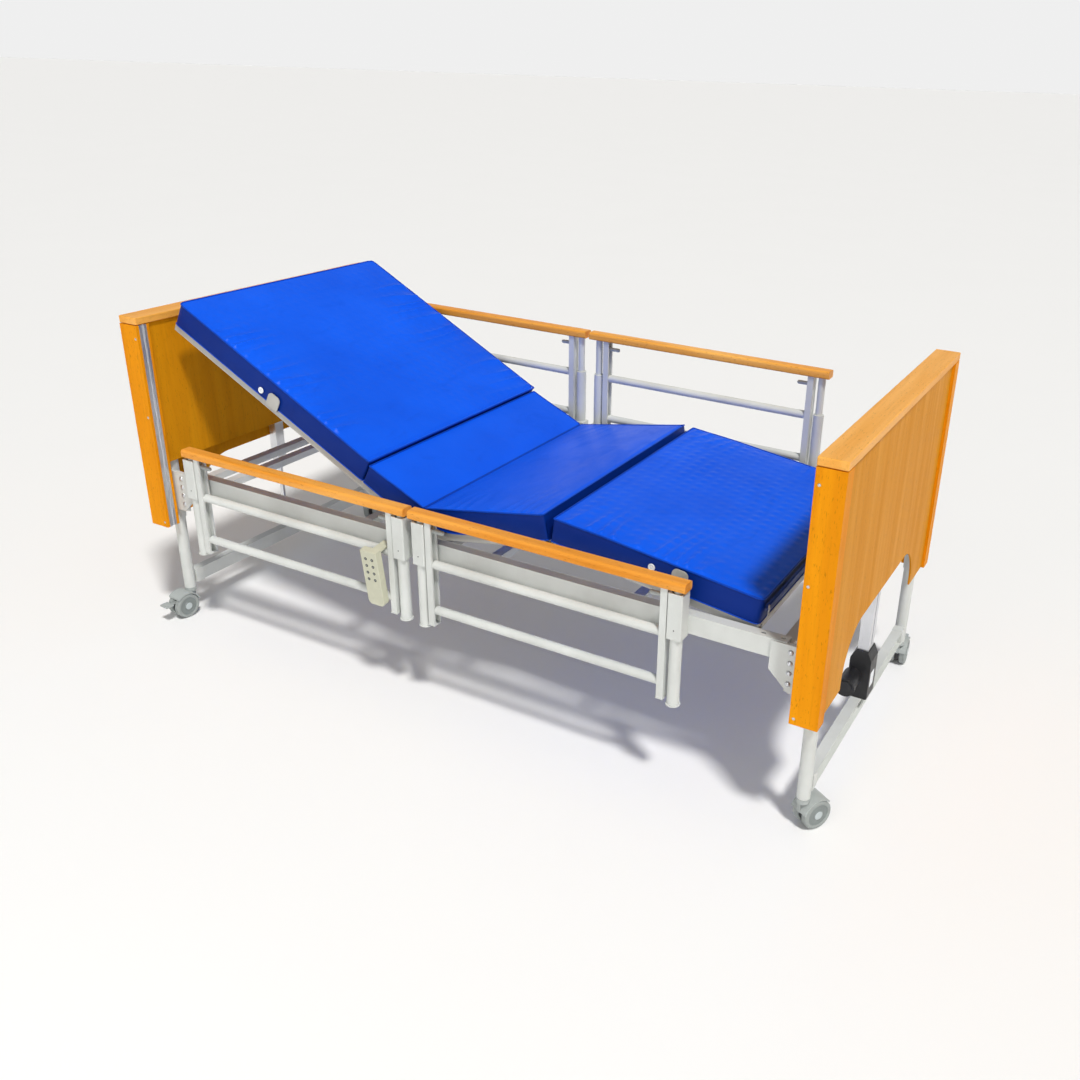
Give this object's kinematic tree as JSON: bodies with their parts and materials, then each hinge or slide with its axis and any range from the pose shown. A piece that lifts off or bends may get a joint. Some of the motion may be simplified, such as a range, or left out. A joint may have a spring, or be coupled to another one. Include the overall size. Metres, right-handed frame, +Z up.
{
  "type": "adjustable hospital bed",
  "caption": "Height-adjustable care bed with wood-faced end boards, sliding side rails, castors and a jointed blue mattress on a profiling deck.",
  "frame": {"origin": "on the floor under the middle of the bed", "axes": "X from the head end to the foot end, Y across the bed, Z up"},
  "size_m": [2.25, 1.0942, 1.0443],
  "materials": {
    "frame_paint": "satin light grey powder coat",
    "beech": "clear satin lacquer",
    "trim_aluminium": "anodised",
    "column_aluminium": "anodised",
    "chrome_steel": "bright",
    "zinc_steel": "zinc plated",
    "black_plastic": "moulded texture",
    "grey_plastic": "moulded",
    "wheel_grey": "matt",
    "handset_plastic": "fine texture",
    "cover_blue": "wipe-clean coated polyurethane cover"
  },
  "bodies": {
    "bed_frame": {"deck_frame": "frame_paint", "corner_brackets": "frame_paint", "frame_fasteners": "zinc_steel", "rail_housings": "frame_paint", "board_trim_profiles": "trim_aluminium", "foot_lift_rod": "chrome_steel", "head_lift_motor": "black_plastic", "head_lift_column": "column_aluminium", "head_end_frame": "frame_paint", "head_board_posts": "beech", "head_board_panels": "beech", "head_board_cap": "beech", "foot_end_frame": "frame_paint", "foot_board_posts": "beech", "foot_board_panels": "beech", "foot_board_cap": "beech"},
    "head_legs": {"head_leg_frame": "frame_paint", "head_lift_rod": "chrome_steel"},
    "foot_legs": {"foot_leg_frame": "frame_paint", "foot_lift_motor": "black_plastic", "foot_lift_column": "column_aluminium"},
    "caster_near_head": {"caster_near_head_fork": "grey_plastic"},
    "wheels_near_head": {"caster_near_head_wheels": "wheel_grey"},
    "pedal_near_head": {"caster_near_head_pedal": "grey_plastic"},
    "caster_far_foot": {"caster_far_foot_fork": "grey_plastic"},
    "wheels_far_foot": {"caster_far_foot_wheels": "wheel_grey"},
    "pedal_far_foot": {"caster_far_foot_pedal": "grey_plastic"},
    "caster_near_foot": {"caster_near_foot_fork": "grey_plastic"},
    "wheels_near_foot": {"caster_near_foot_wheels": "wheel_grey"},
    "caster_far_head": {"caster_far_head_fork": "grey_plastic"},
    "wheels_far_head": {"caster_far_head_wheels": "wheel_grey"},
    "rail_near_head": {"rail_near_head_wood": "beech", "rail_near_head_frame": "frame_paint"},
    "rail_near_head_mid": {"rail_near_head_tubes": "frame_paint"},
    "rail_near_head_release": {"rail_near_head_levers": "grey_plastic"},
    "rail_near_foot": {"rail_near_foot_wood": "beech", "rail_near_foot_frame": "frame_paint"},
    "rail_near_foot_mid": {"rail_near_foot_tubes": "frame_paint"},
    "rail_near_foot_release": {"rail_near_foot_levers": "grey_plastic"},
    "rail_far_head": {"rail_far_head_wood": "beech", "rail_far_head_frame": "frame_paint"},
    "rail_far_head_mid": {"rail_far_head_tubes": "frame_paint"},
    "rail_far_head_release": {"rail_far_head_levers": "grey_plastic"},
    "rail_far_foot": {"rail_far_foot_wood": "beech", "rail_far_foot_frame": "frame_paint"},
    "rail_far_foot_mid": {"rail_far_foot_tubes": "frame_paint"},
    "rail_far_foot_release": {"rail_far_foot_levers": "grey_plastic"},
    "carriage": {"deck_carriage": "frame_paint", "drive_housing": "black_plastic"},
    "back_section": {"back_deck": "frame_paint", "mattress_back": "cover_blue", "mattress_seat": "cover_blue"},
    "thigh_section": {"thigh_deck": "frame_paint", "mattress_thigh": "cover_blue"},
    "calf_section": {"calf_deck": "frame_paint", "mattress_calf": "cover_blue"},
    "back_fork": {"back_push_fork": "black_plastic"},
    "leg_fork": {"leg_push_fork": "black_plastic"},
    "handset": {"handset": "handset_plastic", "handset_keys": "grey_plastic"}
  },
  "joints": [
    {"name": "head_lift", "type": "slide", "parent": "bed_frame", "child": "head_legs", "axis": [0, 0, -1], "range_m": [-0.12, 0.28]},
    {"name": "foot_lift", "type": "slide", "parent": "bed_frame", "child": "foot_legs", "axis": [0, 0, -1], "range_m": [-0.12, 0.28]},
    {"name": "caster_near_head_swivel", "type": "hinge", "parent": "head_legs", "child": "caster_near_head", "pos_m": [-1.065, -0.44, 0.1], "axis": [0, 0, 1], "continuous": true},
    {"name": "wheels_near_head_roll", "type": "hinge", "parent": "caster_near_head", "child": "wheels_near_head", "pos_m": [-1.06788, -0.47287, 0.04], "axis": [0.9962, -0.0872, 0], "continuous": true},
    {"name": "pedal_near_head_brake", "type": "hinge", "parent": "caster_near_head", "child": "pedal_near_head", "pos_m": [-1.07023, -0.49977, 0.06], "axis": [0.9962, -0.0872, 0], "range_deg": [0, 14]},
    {"name": "caster_far_foot_swivel", "type": "hinge", "parent": "foot_legs", "child": "caster_far_foot", "pos_m": [1.065, 0.44, 0.1], "axis": [0, 0, 1], "continuous": true},
    {"name": "wheels_far_foot_roll", "type": "hinge", "parent": "caster_far_foot", "child": "wheels_far_foot", "pos_m": [1.06212, 0.47287, 0.04], "axis": [-0.9962, -0.0872, 0], "continuous": true},
    {"name": "pedal_far_foot_brake", "type": "hinge", "parent": "caster_far_foot", "child": "pedal_far_foot", "pos_m": [1.05977, 0.49977, 0.06], "axis": [-0.9962, -0.0872, 0], "range_deg": [0, 14]},
    {"name": "caster_near_foot_swivel", "type": "hinge", "parent": "foot_legs", "child": "caster_near_foot", "pos_m": [1.065, -0.44, 0.1], "axis": [0, 0, 1], "continuous": true},
    {"name": "wheels_near_foot_roll", "type": "hinge", "parent": "caster_near_foot", "child": "wheels_near_foot", "pos_m": [1.08249, -0.41201, 0.04], "axis": [-0.848, 0.5299, 0], "continuous": true},
    {"name": "caster_far_head_swivel", "type": "hinge", "parent": "head_legs", "child": "caster_far_head", "pos_m": [-1.065, 0.44, 0.1], "axis": [0, 0, 1], "continuous": true},
    {"name": "wheels_far_head_roll", "type": "hinge", "parent": "caster_far_head", "child": "wheels_far_head", "pos_m": [-1.08249, 0.46799, 0.04], "axis": [-0.848, -0.5299, 0], "continuous": true},
    {"name": "rail_near_head_slide", "type": "slide", "parent": "bed_frame", "child": "rail_near_head", "axis": [0, 0, 1], "range_m": [0, 0.286]},
    {"name": "rail_near_head_mid_slide", "type": "slide", "parent": "bed_frame", "child": "rail_near_head_mid", "axis": [0, 0, 1], "range_m": [0, 0.187]},
    {"name": "rail_near_head_release_press", "type": "slide", "parent": "rail_near_head", "child": "rail_near_head_release", "axis": [0, 0, 1], "range_m": [0, 0.01], "stiffness_N_per_m": 600, "springref_m": -0.004},
    {"name": "rail_near_foot_slide", "type": "slide", "parent": "bed_frame", "child": "rail_near_foot", "axis": [0, 0, 1], "range_m": [0, 0.286]},
    {"name": "rail_near_foot_mid_slide", "type": "slide", "parent": "bed_frame", "child": "rail_near_foot_mid", "axis": [0, 0, 1], "range_m": [0, 0.187]},
    {"name": "rail_near_foot_release_press", "type": "slide", "parent": "rail_near_foot", "child": "rail_near_foot_release", "axis": [0, 0, 1], "range_m": [0, 0.01], "stiffness_N_per_m": 600, "springref_m": -0.004},
    {"name": "rail_far_head_slide", "type": "slide", "parent": "bed_frame", "child": "rail_far_head", "axis": [0, 0, 1], "range_m": [-0.286, 0]},
    {"name": "rail_far_head_mid_slide", "type": "slide", "parent": "bed_frame", "child": "rail_far_head_mid", "axis": [0, 0, 1], "range_m": [-0.187, 0]},
    {"name": "rail_far_head_release_press", "type": "slide", "parent": "rail_far_head", "child": "rail_far_head_release", "axis": [0, 0, 1], "range_m": [0, 0.01], "stiffness_N_per_m": 600, "springref_m": -0.004},
    {"name": "rail_far_foot_slide", "type": "slide", "parent": "bed_frame", "child": "rail_far_foot", "axis": [0, 0, 1], "range_m": [-0.286, 0]},
    {"name": "rail_far_foot_mid_slide", "type": "slide", "parent": "bed_frame", "child": "rail_far_foot_mid", "axis": [0, 0, 1], "range_m": [-0.187, 0]},
    {"name": "rail_far_foot_release_press", "type": "slide", "parent": "rail_far_foot", "child": "rail_far_foot_release", "axis": [0, 0, 1], "range_m": [0, 0.01], "stiffness_N_per_m": 600, "springref_m": -0.004},
    {"name": "carriage_slide", "type": "slide", "parent": "bed_frame", "child": "carriage", "axis": [1, 0, 0], "range_m": [-0.125, 0.092]},
    {"name": "back_hinge", "type": "hinge", "parent": "carriage", "child": "back_section", "pos_m": [-0.101, 0, 0.5028], "axis": [0, 1, 0], "range_deg": [-27.5, 37.5]},
    {"name": "thigh_hinge", "type": "hinge", "parent": "carriage", "child": "thigh_section", "pos_m": [-0.101, 0, 0.5028], "axis": [0, -1, 0], "range_deg": [-10.4, 17.6]},
    {"name": "calf_hinge", "type": "hinge", "parent": "thigh_section", "child": "calf_section", "pos_m": [0.31603, 0, 0.57934], "axis": [0, 1, 0], "range_deg": [-17.95, 30.35]},
    {"name": "back_push_slide", "type": "slide", "parent": "carriage", "child": "back_fork", "axis": [-1, 0, 0], "range_m": [-0.033, 0.045]},
    {"name": "leg_push_slide", "type": "slide", "parent": "carriage", "child": "leg_fork", "axis": [1, 0, 0], "range_m": [-0.014, 0.023]},
    {"name": "handset_lift_off", "type": "slide", "parent": "rail_near_head", "child": "handset", "axis": [0, -0.1219, 0.9925], "range_m": [0, 0.06]}
  ],
  "couplings": [
    {"joint": "foot_lift", "follows": "head_lift", "ratio": 1},
    {"joint": "rail_near_head_mid_slide", "follows": "rail_near_head_slide", "ratio": 0.6538},
    {"joint": "rail_near_foot_mid_slide", "follows": "rail_near_foot_slide", "ratio": 0.6538},
    {"joint": "rail_far_head_mid_slide", "follows": "rail_far_head_slide", "ratio": 0.6538},
    {"joint": "rail_far_foot_mid_slide", "follows": "rail_far_foot_slide", "ratio": 0.6538},
    {"joint": "carriage_slide", "follows": "back_hinge", "m_per_rad": -0.1875},
    {"joint": "back_push_slide", "follows": "back_hinge", "m_per_rad": 0.0663},
    {"joint": "calf_hinge", "follows": "thigh_hinge", "ratio": 1.7212},
    {"joint": "leg_push_slide", "follows": "thigh_hinge", "m_per_rad": 0.0695}
  ]
}
